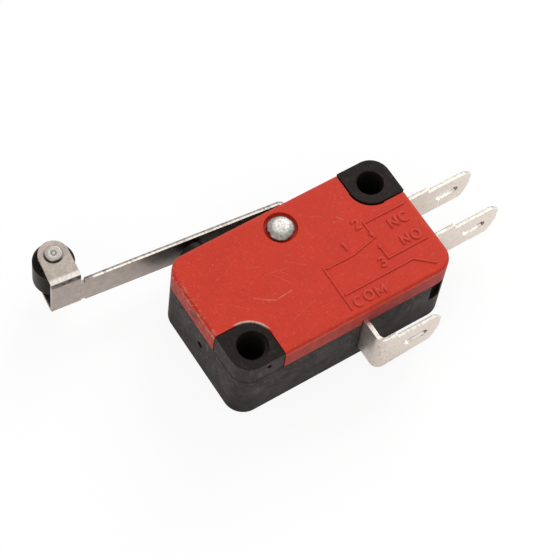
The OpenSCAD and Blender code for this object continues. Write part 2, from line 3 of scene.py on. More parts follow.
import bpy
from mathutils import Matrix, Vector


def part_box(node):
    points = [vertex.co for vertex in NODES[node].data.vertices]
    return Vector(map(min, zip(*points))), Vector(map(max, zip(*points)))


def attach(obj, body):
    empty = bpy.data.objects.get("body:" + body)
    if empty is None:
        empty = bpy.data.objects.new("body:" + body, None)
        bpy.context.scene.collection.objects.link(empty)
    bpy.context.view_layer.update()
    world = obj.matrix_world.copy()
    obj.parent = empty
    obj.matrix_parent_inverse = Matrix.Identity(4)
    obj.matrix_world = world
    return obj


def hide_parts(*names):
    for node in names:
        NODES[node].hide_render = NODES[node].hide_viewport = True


bl_info = {
    "name": "Lever Micro Switch",
    "version": (1, 0, 0),
    "blender": (4, 5, 0),
    "location": "3D View > Sidebar > Switch",
    "description": "Finishes and fine parts of a hinged roller lever micro switch",
    "category": "Object",
}

import bpy
import numpy as np
from mathutils import Matrix, Vector

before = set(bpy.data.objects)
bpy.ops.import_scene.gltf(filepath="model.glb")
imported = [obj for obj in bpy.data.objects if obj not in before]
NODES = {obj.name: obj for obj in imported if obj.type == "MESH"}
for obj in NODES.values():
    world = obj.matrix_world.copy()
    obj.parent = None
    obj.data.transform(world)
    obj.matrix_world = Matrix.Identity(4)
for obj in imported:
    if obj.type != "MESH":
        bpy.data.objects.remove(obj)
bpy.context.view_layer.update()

# One millimetre, in metres
MM = 0.001


def box_mm(node):
    """A node's lowest and highest corner in millimetres."""
    low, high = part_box(node)
    return np.array(low) / MM, np.array(high) / MM


# Boxes, axes and heights of the switch's solids, in millimetres
CASE_TOP = box_mm("case")[1][2]
COVER_LOW, COVER_HIGH = box_mm("cover")
COVER_TOP = COVER_HIGH[2]
RIVET_LOW, RIVET_HIGH = box_mm("hinge_rivet")
ROLLER_LOW, ROLLER_HIGH = box_mm("roller")
PIN_LOW, PIN_HIGH = box_mm("roller_pin")
HINGE = (RIVET_LOW + RIVET_HIGH)[:2] / 2
ROLLER_AXIS = (ROLLER_LOW + ROLLER_HIGH)[:2] / 2
PIN_HEAD = (PIN_HIGH - PIN_LOW)[0] / 2

# The case, in millimetres: upper edge of its wall, radius of its bosses, how far from a mounting hole's axis
# the painted shade inside it starts and is full, and the far hole's place from the near one, at the origin
RIM = 7.2
BOSS_RADIUS = 2.6
HOLE_SHADE_START = 1.75
HOLE_SHADE_FULL = 1.6
HOLE_PITCH = (22.2, 10.3)

# The cover, in millimetres: radius of its corners, and Y and Z of both ends of the scuff on its left side
COVER_CORNER = 2.3
SCUFF = (7.0, 8.5, 6.3, 9.0)

# The lever in its own frame, in millimetres: the strip lies along it with its underside at STRIP_FACE. Its
# root starts to bend at ROOT_BEND, round a centre at ROOT_CENTRE. The tilt is in degrees, the camber a slope.
LEVER_TILT = 6.0
STRIP_FACE = 4.39
STRIP_THICK = 0.45
STRIP_TOP = 6.65
STRIP_WIDTH = 4.2
STRIP_CAMBER = 0.09
ROOT_BEND = 2.2
ROOT_RADIUS = 0.9
ROOT_CENTRE = STRIP_FACE + STRIP_THICK - ROOT_RADIUS
FORK_END = -21.72
FORK_TOP = box_mm("lever")[1][2]

# The terminals, in millimetres: thickness of the sheet, upper edge of the tabs, and the rear face of each tab
SHEET = 0.5
TAB_TOP = 7.3
TAB_BACKS = (
    box_mm("nc_terminal")[1][1],
    box_mm("no_terminal")[1][1],
    box_mm("com_terminal")[0][1] + SHEET,
)

# Hair scratches on the cover, in millimetres: start, end, width, and then their strength
SCRATCHES = (
    (3.28, 4.66, 4.4, 3.75, 0.07, 0.42), (4.4, 3.75, 5.3, 3.22, 0.1, 0.55), (5.3, 3.22, 7.4, 3.36, 0.09, 0.5),
    (0.6, 5.25, 2.2, 3.75, 0.06, 0.22), (6.7, 5.95, 7.8, 4.1, 0.07, 0.25), (7.1, 6.6, 8.3, 4.8, 0.06, 0.2),
    (5.9, 6.4, 8.6, 5.9, 0.06, 0.2), (2.0, 8.6, 4.2, 9.6, 0.06, 0.12), (8.6, 6.8, 10.4, 5.2, 0.06, 0.16),
    (13.6, 10.4, 15.2, 9.4, 0.06, 0.14), (16.6, 8.6, 17.0, 7.9, 0.09, 0.3), (5.6, 0.2, 8.8, 1.1, 0.06, 0.12),
)

# Neighbouring faces are shaded as one surface up to this angle between them
SMOOTH_ANGLE = np.radians(50.0)

# How deep the raised lines are let into the cover, in millimetres
RIDGE_SINK = 0.03

# Warm sheen of the black plastics
CASE_SHEEN = (1.0, 0.83, 0.77, 1.0)
ROLLER_SHEEN = (1.0, 0.85, 0.77, 1.0)

# Lamps, in metres: side and place of each, and the spot that both face
KEY_LAMP = (0.34, (0.42, 0.30, 0.34))
FILL_LAMP = (0.4, (-0.32, -0.22, 0.3))
LAMP_TARGET = (0.008, 0.005, 0.005)

# The floor: half its side in metres, its height in millimetres, the tone and glow that light the switch, and
# the tone and glow that the camera sees
FLOOR_HALF = 0.8
FLOOR_HEIGHT = -0.03
FLOOR_TONE = 0.85
FLOOR_GLOW = 0.3
SEEN_TONE = 0.16
SEEN_GLOW = 0.88
WHITE = (1.0, 1.0, 1.0, 1.0)

# The camera: its place and its sensor's width in millimetres, the way it looks and its right-hand side
CAMERA_PLACE = (-67.177, -79.168, 212.498)
SENSOR_WIDTH = 36.0
CAMERA_AHEAD = (0.32051, 0.36408, -0.87448)
CAMERA_RIGHT = (0.83860, -0.53836, 0.08322)


# ---- shader maths ----


class Val:
    """A socket that takes part in Python maths. Each operator adds one Math node to its graph."""

    def __init__(self, graph, socket):
        self.graph = graph
        self.socket = socket

    def _math(self, operation, *terms):
        """One Math node on these values or numbers."""
        return self.graph.add("ShaderNodeMath", {"operation": operation}, dict(enumerate(terms)))

    def __add__(self, other):
        return self._math("ADD", self, other)

    __radd__ = __add__

    def __sub__(self, other):
        return self._math("SUBTRACT", self, other)

    def __rsub__(self, other):
        return self._math("SUBTRACT", other, self)

    def __mul__(self, other):
        return self._math("MULTIPLY", self, other)

    __rmul__ = __mul__

    def __truediv__(self, other):
        return self._math("DIVIDE", self, other)

    def __rtruediv__(self, other):
        return self._math("DIVIDE", other, self)

    def __pow__(self, other):
        return self._math("POWER", self, other)

    def __rpow__(self, other):
        return self._math("POWER", other, self)

    def __neg__(self):
        return self._math("MULTIPLY", self, -1.0)

    def __abs__(self):
        return self._math("ABSOLUTE", self)

    def low(self, other):
        """The smaller of the two."""
        return self._math("MINIMUM", self, other)

    def high(self, other):
        """The larger of the two."""
        return self._math("MAXIMUM", self, other)

    def root(self):
        """The square root."""
        return self._math("SQRT", self)

    def ramp(self, start, end):
        """0 up to start and 1 from end on, with a smooth step between. start may be the larger."""
        settings = {"interpolation_type": "SMOOTHSTEP"}
        if start < end:
            links = {"Value": self, "From Min": start, "From Max": end}
            return self.graph.add("ShaderNodeMapRange", settings, links)
        links = {"Value": self, "From Min": end, "From Max": start, "To Min": 1.0, "To Max": 0.0}
        return self.graph.add("ShaderNodeMapRange", settings, links)


class Graph:
    """The emptied node tree of a material or a world, and the one way to add nodes to it."""

    def __init__(self, owner):
        owner.use_nodes = True
        self.tree = owner.node_tree
        self.tree.nodes.clear()

    def add(self, kind, settings=None, values=None, out=0):
        """Adds a node of this type: first its settings, then its sockets' values or links. Returns one
        output, or None for a node that has none."""
        node = self.tree.nodes.new(kind)
        for key, value in (settings or {}).items():
            setattr(node, key, value)
        for key, value in (values or {}).items():
            socket = self._socket(node.inputs, key)
            if isinstance(value, Val):
                self.tree.links.new(value.socket, socket)
            else:
                socket.default_value = value
        return Val(self, self._socket(node.outputs, out)) if node.outputs else None

    @staticmethod
    def _socket(sockets, key):
        """The socket of that number, identifier or name."""
        if isinstance(key, int):
            return sockets[key]
        return next(s for s in sockets if key in (s.identifier, s.name))

    def split(self, vector):
        """The three parts of a vector."""
        first = self.add("ShaderNodeSeparateXYZ", {}, {0: vector})
        return [Val(self, socket) for socket in first.socket.node.outputs]


class Finish(Graph):
    """A material in the making, with its Principled shader and the place in millimetres on the switch."""

    def __init__(self, name, **constants):
        self.material = bpy.data.materials.new(name)
        super().__init__(self.material)
        values = {socket.replace("_", " "): value for socket, value in constants.items()}
        self.shader = self.add("ShaderNodeBsdfPrincipled", {}, values)
        place = self.add("ShaderNodeTexCoord", out="Object")
        self.mm = self.vector("SCALE", place, Scale=1 / MM)
        self.x, self.y, self.z = self.split(self.mm)

    def show(self, shader):
        """Gives the material this shader as its surface, and returns the material."""
        self.add("ShaderNodeOutputMaterial", {}, {"Surface": shader})
        return self.material

    def wear(self, **links):
        """Links what varies to the Principled shader's sockets, and returns the material that shows it."""
        for socket, value in links.items():
            self.tree.links.new(value.socket, self.shader.socket.node.inputs[socket.replace("_", " ")])
        return self.show(self.shader)

    def vector(self, operation, first, second=None, **values):
        """Vector Math on one or two vectors."""
        links = {0: first, **values}
        if second is not None:
            links[1] = second
        return self.add("ShaderNodeVectorMath", {"operation": operation}, links)

    def stretch(self, x, y, z, turn=0.0):
        """The place in millimetres, turned about Z by that many degrees and then scaled along each axis."""
        values = {"Vector": self.mm, "Rotation": (0, 0, np.radians(turn)), "Scale": (1, 1, 1)}
        turned = self.add("ShaderNodeMapping", {"vector_type": "POINT"}, values)
        return self.vector("MULTIPLY", turned, (x, y, z))

    def noise(self, scale, detail, rough=0.55, where=None, warp=0.0):
        """Fractal noise from 0 to 1, scale being its cells a millimetre."""
        values = {"Vector": where or self.mm, "Scale": scale, "Detail": detail, "Roughness": rough}
        return self.add("ShaderNodeTexNoise", {}, {**values, "Distortion": warp})

    def cells(self, scale, where=None):
        """Distance to the nearest of scattered points, in cells."""
        return self.add("ShaderNodeTexVoronoi", {}, {"Vector": where or self.mm, "Scale": scale})

    def blend(self, share, first, second):
        """Mix of two colours or normals."""
        settings = {"data_type": "RGBA", "clamp_factor": True}
        values = {"Factor_Float": share, "A_Color": first, "B_Color": second}
        return self.add("ShaderNodeMix", settings, values, "Result_Color")

    def segment(self, x0, y0, x1, y1, u=None, v=None):
        """Distance in millimetres from the stroke between two points in the plane of u and v, which are X
        and Y if left out."""
        u, v = u or self.x, v or self.y
        dx, dy = x1 - x0, y1 - y0
        along = (((u - x0) * dx + (v - y0) * dy) / (dx * dx + dy * dy)).low(1.0).high(0.0)
        across, up = u - x0 - along * dx, v - y0 - along * dy
        return (across * across + up * up).root()

    def rounded(self, radius):
        """Normal of the surface with its edges rounded by that many millimetres."""
        return self.add("ShaderNodeBevel", {"samples": 6}, {"Radius": radius * MM})

    def plain_normal(self):
        """Normal of the surface as it is."""
        return self.add("ShaderNodeNewGeometry", out="Normal")

    def facing_up(self):
        """1 on faces turned to +Z, 0 on upright and lower ones."""
        return self.split(self.add("ShaderNodeTexCoord", out="Normal"))[2].ramp(0.5, 0.8)

    def edges(self, radius):
        """1 along edges and in corners, within about that many millimetres of them."""
        links = {0: self.rounded(radius), 1: self.plain_normal()}
        same = self.add("ShaderNodeVectorMath", {"operation": "DOT_PRODUCT"}, links, "Value")
        return (1.0 - same).ramp(0.01, 0.12)

    def bump(self, height, depth, strength, base=None):
        """Normal of a height from 0 to 1 that stands for depth millimetres."""
        values = {"Strength": strength, "Distance": depth * MM, "Height": height}
        if base is not None:
            values["Normal"] = base
        return self.add("ShaderNodeBump", {}, values)


# ---- surfaces ----


def lay_mesh(name, points, wrap_u=False, wrap_v=True):
    """Turns a grid of points (rows u, columns v, xyz in millimetres) into a mesh object in metres. Its faces
    look along v cross u. wrap_u and wrap_v join the last row or column to the first. A row whose points are
    all one point becomes one vertex, which closes a pole."""
    rows, columns = points.shape[:2]
    u = np.arange(rows if wrap_u else rows - 1)
    v = np.arange(columns if wrap_v else columns - 1)
    a, b = np.meshgrid(u, v, indexing="ij")
    a1, b1 = (a + 1) % rows, (b + 1) % columns
    corners = [a * columns + b, a * columns + b1, a1 * columns + b1, a1 * columns + b]
    quads = np.stack(corners, -1).reshape(-1, 4)
    flat = points.reshape(-1, 3)
    index = np.arange(rows * columns)
    for row in range(rows):
        ring = points[row]
        if np.ptp(ring, axis=0).max() < 1e-7:
            index[row * columns:(row + 1) * columns] = row * columns
    quads = index[quads]
    keep = [tuple(dict.fromkeys(q)) for q in quads.tolist()]
    keep = [q for q in keep if len(q) > 2]
    used, inverse = np.unique(np.concatenate([np.array(q) for q in keep]), return_inverse=True)
    ends = np.cumsum([len(q) for q in keep])[:-1]
    mesh = bpy.data.meshes.new(name)
    mesh.from_pydata((flat[used] * MM).tolist(), [], [part.tolist() for part in np.split(inverse, ends)])
    mesh.polygons.foreach_set("use_smooth", np.ones(len(mesh.polygons), bool))
    mesh.update()
    mesh.set_sharp_from_angle(angle=SMOOTH_ANGLE)
    piece = bpy.data.objects.new(name, mesh)
    bpy.context.scene.collection.objects.link(piece)
    return piece


def join_pieces(name, parts):
    """Joins several closed grids' objects into one object of that name."""
    first = parts[0]
    with bpy.context.temp_override(active_object=first, object=first, selected_editable_objects=parts):
        bpy.ops.object.join()
    first.name = first.data.name = name
    return first


def fillet(profile, radius, steps=5):
    """Rounds the inner corners of an open (radius, height) profile: each corner becomes a quadratic curve
    that starts and ends radius away from it, or nearer where a side is short."""
    share = 0.45
    profile = np.asarray(profile, float)
    t = np.linspace(0, 1, steps)[:, None]
    out = [profile[:1]]
    for before, corner, after in zip(profile[:-2], profile[1:-1], profile[2:]):
        reach_in, reach_out = before - corner, after - corner
        near = min(radius, share * np.hypot(*reach_in), share * np.hypot(*reach_out))
        p0 = corner + reach_in / np.hypot(*reach_in) * near
        p2 = corner + reach_out / np.hypot(*reach_out) * near
        out.append((1 - t) ** 2 * p0 + 2 * t * (1 - t) * corner + t ** 2 * p2)
    out.append(profile[-1:])
    return np.concatenate(out)


def spin(profile, centre, sides, lobes=None):
    """Surface of revolution about a line parallel to Z through centre. Row u carries profile point (r, z),
    and column v turns it by v / sides of a full turn. lobes(angle, r, z) returns a changed (r, z), for a
    peened edge."""
    angle = np.linspace(0, 2 * np.pi, sides, endpoint=False)[None, :]
    r = np.repeat(profile[:, :1], sides, axis=1)
    z = np.repeat(profile[:, 1:], sides, axis=1)
    if lobes is not None:
        r, z = lobes(angle, r, z)
    return np.stack([centre[0] + r * np.cos(angle), centre[1] + r * np.sin(angle), z], -1)


def ridge(path, z, width, height):
    """A raised moulded line on the plane z: a closed profile (flat underneath, a flattened half circle on
    top) carried along a flat path with mitred corners, and drawn together to a point beyond both ends. width
    is one number, or one for each point of the path."""
    path = np.asarray(path, float)
    width = np.broadcast_to(width, len(path))
    reach = width.min() / 2
    step = np.diff(path, axis=0)
    step /= np.linalg.norm(step, axis=1)[:, None]
    before, after = np.vstack([step[:1], step]), np.vstack([step, step[-1:]])
    tangent = before + after
    tangent /= np.linalg.norm(tangent, axis=1)[:, None]
    normal = np.stack([-tangent[:, 1], tangent[:, 0]], 1)
    mitre = 1 / np.clip((before * tangent).sum(1), 0.45, 1)
    turn = np.linspace(0, np.pi, 9)
    across = np.concatenate([np.cos(turn), [-1.0, 1.0]]) / 2
    up = np.concatenate([np.sin(turn) ** 0.3 * height, [-RIDGE_SINK, -RIDGE_SINK]])
    rows = path[:, None, :] + normal[:, None, :] * across[None, :, None] * (mitre * width)[:, None, None]
    body = np.concatenate([rows, np.broadcast_to((z + up)[None, :, None], (len(path), len(up), 1))], -1)
    first = np.append(path[0] - step[0] * reach, z - RIDGE_SINK)
    last = np.append(path[-1] + step[-1] * reach, z - RIDGE_SINK)
    tip = np.ones((1, len(up), 1))
    return np.concatenate([first * tip, body, last * tip])


def arc(cx, cy, rx, ry, start, end, steps=14):
    """Points of an ellipse's arc between two angles in degrees."""
    a = np.radians(np.linspace(start, end, steps))
    return np.stack([cx + rx * np.cos(a), cy + ry * np.sin(a)], 1)


# ---- finishes ----


def opaque(colour):
    """A colour property as the four numbers that a socket takes."""
    return (*colour[:3], 1.0)


def shade(colour, factor):
    """The colour made lighter or darker, each channel held at 1."""
    return (*(min(1.0, c * factor) for c in colour[:3]), 1.0)


def red_moulding(colours):
    """Satin red plastic: faint flow clouds, fine grain, dust specks, hair scratches, a scuffed rim, and
    painted
    light: a dark reflection along the top's fillet, a highlight on the lip round the near boss, shade on the
    sides and highlight on the tops of the raised lines, and a duller film with shade on the skirt."""
    f = Finish("red moulding", IOR=1.26)
    base, pale, deep = opaque(colours.cover), opaque(colours.cover_wear_and_highlight), shade(colours.cover, 0.6)
    clouds = f.noise(0.3, 5, 0.62)
    grain = f.noise(7.0, 5, 0.7)
    colour = f.blend(clouds.ramp(0.35, 0.7) * 0.6, base, shade(colours.cover, 1.14))
    colour = f.blend(grain.ramp(0.45, 0.75) * 0.5, colour, deep)
    fine = f.noise(3.0, 5, 0.75)
    colour = f.blend(fine.ramp(0.55, 0.75) * 0.3, colour, pale)
    top = f.z.ramp(COVER_TOP - 0.12, COVER_TOP - 0.02)
    dust = f.cells(1.1).ramp(0.12, 0.05) * f.noise(0.45, 2).ramp(0.52, 0.64)
    flecks = f.cells(4.2).ramp(0.2, 0.08) * f.noise(1.1, 3).ramp(0.55, 0.7)
    colour = f.blend((dust * 0.4 + flecks * 0.14) * top, colour, pale)
    broken = f.noise(2.2, 4, 0.7)
    marks = None
    for x0, y0, x1, y1, width, force in SCRATCHES:
        mark = f.segment(x0, y0, x1, y1).ramp(width, width * 0.25) * force
        marks = mark if marks is None else marks.high(mark)
    colour = f.blend(marks * broken.ramp(0.3, 0.6) * top, colour, pale)
    rub = rim_distance(f, COVER_LOW, COVER_HIGH, COVER_CORNER)
    chips = rub.ramp(-0.62, -0.1) * f.noise(1.7, 6, 0.75).ramp(0.5, 0.58)
    left = f.x.ramp(-0.6, -2.2)
    colour = f.blend(chips * (left * 0.75 + 0.12), colour, pale)
    # Painted dark reflection: the fillet round the cover's top is deepened to a darker red
    fillet_dark_reflection = rub.ramp(-0.34, -0.16) * f.z.ramp(COVER_TOP - 0.4, COVER_TOP - 0.2)
    colour = f.blend(fillet_dark_reflection * 0.55, colour, deep)
    # Painted highlight: the lip of the cover round the near boss is paled, most on its side towards +X and +Y
    lit = (f.x * 0.58 + f.y * 0.81).ramp(2.0, 2.55) * f.noise(2.4, 3).ramp(0.15, 0.5)
    lip = ((f.x * f.x + f.y * f.y).root() - BOSS_RADIUS).ramp(0.42, 0.26)
    lip = lip * f.z.ramp(COVER_TOP - 0.3, COVER_TOP - 0.15)
    colour = f.blend(lip * lit, colour, opaque(colours.cover_lip_highlight))
    # Painted shade: the upright sides of the raised lines and letters are darkened
    stroke_side_shade = f.z.ramp(COVER_TOP, COVER_TOP + 0.01) * (1.0 - f.facing_up())
    colour = f.blend(stroke_side_shade * 0.45, colour, shade(colours.cover, 0.35))
    # Painted highlight: the upturned tops of the raised lines and letters are paled
    stroke_top_highlight = f.z.ramp(COVER_TOP + 0.05, COVER_TOP + 0.08) * f.facing_up()
    colour = f.blend(stroke_top_highlight * 0.07, colour, pale)
    # The cover's sides get a duller film, which is also painted shade that darkens them
    skirt = f.z.ramp(COVER_TOP - 0.45, COVER_TOP - 0.6)
    film = f.noise(1.2, 5, 0.65, f.stretch(1.0, 1.0, 0.4)).ramp(0.2, 0.7)
    colour = f.blend(skirt * (0.5 + film * 0.35), colour, opaque(colours.cover_skirt_film_and_shade))
    scuff = f.segment(*SCUFF, f.y, f.z).ramp(0.7, 0.2) * f.noise(3.2, 5, 0.75).ramp(0.42, 0.54)
    colour = f.blend(scuff * left * 0.75, colour, opaque(colours.cover_scuff))
    rough = 0.44 + clouds * 0.12 - marks * 0.1
    return f.wear(Base_Color=colour, Roughness=rough, Normal=f.bump(grain, 0.014, 0.7, f.rounded(0.06)))


def black_moulding(colours, name="black moulding", smear=0.5):
    """Black filled plastic: cloudy sheen, fine pitted grain, pale handling marks, and painted shade that
    darkens its foot, its upturned tops and its holes."""
    f = Finish(name, IOR=1.28, Specular_Tint=CASE_SHEEN)
    clouds = f.noise(0.42, 6, 0.68, None, 0.6)
    grain = f.noise(9.0, 4, 0.7)
    colour = f.blend(clouds.ramp(0.35, 0.68), shade(colours.case, 0.35), shade(colours.case, 1.6))
    smear = smear * (0.25 + f.z.ramp(0.5, RIM) * 0.75)
    marks = f.noise(1.5, 7, 0.72, f.stretch(1.0, 1.0, 0.5), 0.5).ramp(0.5, 0.66) * smear
    colour = f.blend(marks, colour, shade(colours.case, 5.0))
    streaks = f.noise(1.0, 6, 0.75, f.stretch(2.2, 2.2, 0.35), 0.3).ramp(0.52, 0.75) * smear
    colour = f.blend(streaks * 0.8, colour, shade(colours.case, 5.5))
    # Painted shade: the case is darkened towards the bottom, near the floor
    colour = f.blend(f.z.ramp(4.5, 0.5) * 0.8, colour, shade(colours.case, 0.1))
    ledge = abs(f.z - RIM).ramp(0.25, 0.15)
    colour = f.blend(grain.ramp(0.45, 0.7) * 0.5, colour, shade(colours.case, 3.0))
    worn = f.edges(0.12) * (1.0 - ledge) * grain.ramp(0.3, 0.6) * 0.5
    colour = f.blend(worn, colour, shade(colours.case, 3.5))
    pits = f.cells(3.1).ramp(0.16, 0.08) * f.noise(0.9, 2).ramp(0.52, 0.62)
    colour = f.blend(pits * 0.7, colour, shade(colours.case, 0.15))
    # Painted shade: faces turned up, above the wall's upper edge, are darkened
    top = f.facing_up() * f.z.ramp(RIM + 0.3, RIM + 0.4)
    colour = f.blend(top * (0.85 - marks), colour, shade(colours.case, 0.1))
    # Painted shade: the inside of both mounting holes is darkened
    near = (f.x * f.x + f.y * f.y).root()
    u, v = f.x - HOLE_PITCH[0], f.y - HOLE_PITCH[1]
    inside = near.low((u * u + v * v).root()).ramp(HOLE_SHADE_START, HOLE_SHADE_FULL)
    inside = inside * f.z.ramp(CASE_TOP - 0.05, CASE_TOP - 0.3)
    colour = f.blend(inside, colour, shade(colours.case, 0.5))
    rough = (0.6 - clouds * 0.4 + grain * 0.25 - marks * 0.2).high(inside)
    soft = f.blend(ledge, f.rounded(0.05), f.plain_normal())
    return f.wear(Base_Color=colour, Roughness=rough, Normal=f.bump(grain - pits, 0.018, 0.8, soft))


def steel_strip(colours):
    """Rolled stainless strip: fine lines along it, blotches, specks, painted glints, torn bright sheared
    edges with a dark line along their far side, and painted light: a highlight and a dark reflection on the
    fork's bend, shade on the ear's top, a shadow round the pin and a dark reflection on the strip near the
    hinge."""
    f = Finish("steel strip", Metallic=1.0)
    along, across = lever_frame(f)
    lines = f.noise(1.0, 4, 0.6, f.stretch(0.3, 20.0, 20.0, 6.0))
    blotch = f.noise(1.1, 6, 0.65)
    colour = f.blend(blotch.ramp(0.3, 0.75), shade(colours.lever, 0.84), shade(colours.lever, 1.1))
    colour = f.blend(lines.ramp(0.42, 0.75) * 0.3, colour, shade(colours.lever, 1.3))
    specks = f.cells(2.6).ramp(0.16, 0.06) * f.noise(1.2, 2).ramp(0.46, 0.56)
    colour = f.blend(specks * 0.7, colour, shade(colours.lever, 0.3))
    # Painted glints: small bright flecks in the colour of the sheared edges
    glints = f.cells(3.3, f.stretch(1.0, 1.0, 1.1, 30.0)).ramp(0.14, 0.05) * f.noise(1.4, 2).ramp(0.5, 0.6)
    colour = f.blend(glints * 0.6, colour, opaque(colours.lever_edge_and_highlight))
    strip = along.ramp(FORK_END + 0.1, FORK_END + 0.35)
    edge = f.z.ramp(STRIP_TOP - 0.03, STRIP_TOP - 0.005) * strip
    torn = f.noise(2.6, 5, 0.7, f.stretch(1.0, 0.3, 1.0, 6.0)).ramp(0.35, 0.6)
    colour = f.blend(edge * (0.2 + torn * 0.8), colour, opaque(colours.lever_edge_and_highlight))
    round_x, round_y = (along - ROOT_BEND).high(0.0), (across - ROOT_CENTRE).high(0.0)
    outer = (round_x * round_x + round_y * round_y).root() + ROOT_CENTRE
    far = outer.ramp(STRIP_FACE + 0.2, STRIP_FACE + 0.28) * edge
    colour = f.blend(far * (0.95 - torn * 0.25), colour, shade(colours.lever, 0.2))
    burr = f.z.ramp(STRIP_TOP - STRIP_WIDTH + 0.16, STRIP_TOP - STRIP_WIDTH + 0.04)
    burr = burr.high(edge * along.ramp(FORK_END + 1.7, FORK_END + 1.1)) * strip
    colour = f.blend(burr * 0.75, colour, shade(colours.lever, 0.25))
    # Painted dark reflection of the case: the strip is darkened on its part nearer the hinge
    colour = f.blend(along.ramp(FORK_END + 7, FORK_END + 12) * 0.3, colour, shade(colours.lever, 0.5))
    # Mottle on the ear's upturned face, which is also painted shade that darkens it
    ear = f.z.ramp(FORK_TOP - 0.1, FORK_TOP - 0.02)
    colour = f.blend(ear * f.noise(3.5, 4, 0.75).ramp(0.46, 0.66) * 0.5, colour, shade(colours.lever, 0.55))
    # Painted highlight and painted dark reflection: a light band, and a dark band below it, round the fork's
    # bend
    bend = across.ramp(STRIP_FACE + 0.85, STRIP_FACE + 0.45) * (0.6 + torn * 0.4)
    lit = bend * f.z.ramp(FORK_TOP - 0.36, FORK_TOP - 0.26)
    bend_dark_reflection = bend * f.z.ramp(FORK_TOP - 0.28, FORK_TOP - 0.38) * f.z.ramp(FORK_TOP - 1.1, FORK_TOP - 0.75)
    colour = f.blend(lit * 0.9, colour, shade(colours.lever_edge_and_highlight, 1.2))
    colour = f.blend(bend_dark_reflection, colour, shade(colours.lever, 0.16))
    # Painted shadow: a dark ring round the pin's head on the ear, heaviest towards -X and -Y
    u, v = f.x - ROLLER_AXIS[0], f.y - ROLLER_AXIS[1]
    pin_shadow = ((u * u + v * v).root() - PIN_HEAD).ramp(0.2, 0.06) * ear
    colour = f.blend(pin_shadow * (0.35 + (-u - v).ramp(-0.3, 1.1) * 0.65), colour, shade(colours.lever, 0.08))
    colour = f.blend(f.edges(0.1) * ear * (1.0 - bend) * 0.6, colour, shade(colours.lever, 0.3))
    rough = 0.2 + lines * 0.12 + blotch * 0.08 + edge * 0.1
    camber = (f.z - STRIP_TOP) * along.ramp(FORK_END, FORK_END * 0.45) * -STRIP_CAMBER
    bowed = f.bump(camber, 1.0, 1.0, f.rounded(0.05))
    rolled = f.bump(lines + torn * edge * 4, 0.006, 0.5, bowed)
    return f.wear(Base_Color=colour, Roughness=rough, Normal=rolled)


def tinned_sheet(colours):
    """Tinned terminal sheet: soft mottled plating, small pits, and coarser sheared edges between a dark line
    below and a dark burr at the back."""
    f = Finish("tinned sheet", Metallic=1.0)
    mottle = f.noise(1.6, 5, 0.65)
    fine = f.noise(2.2, 3, 0.6)
    pits = f.cells(2.2).ramp(0.14, 0.05) * f.noise(0.8, 2).ramp(0.5, 0.6)
    common_tab = f.x.ramp(17.5, 15.5)
    speckled = f.cells(2.0).ramp(0.3, 0.12) * f.noise(1.1, 4, 0.7).ramp(0.47, 0.56) * common_tab
    colour = f.blend(mottle.ramp(0.3, 0.75), shade(colours.terminal, 0.88), shade(colours.terminal, 1.04))
    colour = f.blend(pits * 0.5 + speckled * 0.75, colour, shade(colours.terminal, 0.33))
    up = f.facing_up()
    under = f.edges(0.16) * (1.0 - up) * f.z.ramp(TAB_TOP - 0.5, TAB_TOP - 0.3) * fine.ramp(0.25, 0.5)
    colour = f.blend(under * 0.75, colour, shade(colours.terminal, 0.2))
    sheared = f.blend(fine.ramp(0.34, 0.56), shade(colours.terminal, 0.8), opaque(colours.terminal_edge))
    rears = [abs(f.y - place) for place in TAB_BACKS]
    back = rears[0].low(rears[1]).low(rears[2]).ramp(0.2, 0.1)
    sheared = f.blend(back * (0.9 - fine * 0.6), sheared, shade(colours.terminal, 0.4))
    colour = f.blend(up, colour, sheared)
    rough = (0.3 + mottle * 0.16) * (1.0 - up * 0.45)
    plated = f.bump(mottle + fine * up, 0.02, 0.4, f.rounded(0.06))
    return f.wear(Base_Color=colour, Roughness=rough, Normal=plated)


def peened_metal(name, colour, centre, radius, rim, ring=0.0):
    """Peened soft metal: worked grain, a struck middle painted brighter and a rim painted greyer as highlight
    and shade, rim being its share of the colour. ring is the radius of the groove that a punch left, darkened
    with painted shade, or 0 for none."""
    f = Finish(name, Metallic=1.0)
    u, v = f.x - centre[0], f.y - centre[1]
    out = (u * u + v * v).root()
    grain = f.noise(4.0, 5, 0.7)
    # Painted highlight and shade: the middle is brightened and the sloping rim greyed
    tone = f.blend(out.ramp(radius * 0.68, radius * 0.5), shade(colour, rim), shade(colour, 1.12))
    tone = f.blend(grain.ramp(0.42, 0.6) * 0.6, tone, shade(colour, rim * 0.8))
    beaten = f.noise(2.4, 4, 0.7).ramp(0.4, 0.65)
    tone = f.blend(beaten * 0.3, tone, shade(colour, 1.3))
    # Painted shade in the punch's groove
    if ring:
        groove = abs(out - ring).ramp(0.1, 0.03) * beaten.high(0.5)
        tone = f.blend(groove, tone, shade(colour, 0.3))
    rough = 0.3 + grain * 0.25
    return f.wear(Base_Color=tone, Roughness=rough, Normal=f.bump(grain, 0.04, 0.8))


def black_roller(colours):
    """Black turned plastic: fine lighter wear."""
    f = Finish("black roller", IOR=1.17, Specular_Tint=ROLLER_SHEEN)
    wear = f.noise(6.0, 5, 0.7)
    colour = f.blend(wear.ramp(0.5, 0.8), opaque(colours.roller), shade(colours.roller, 2.2))
    return f.wear(Base_Color=colour, Roughness=0.26 + wear * 0.2, Normal=f.bump(wear, 0.02, 0.5))


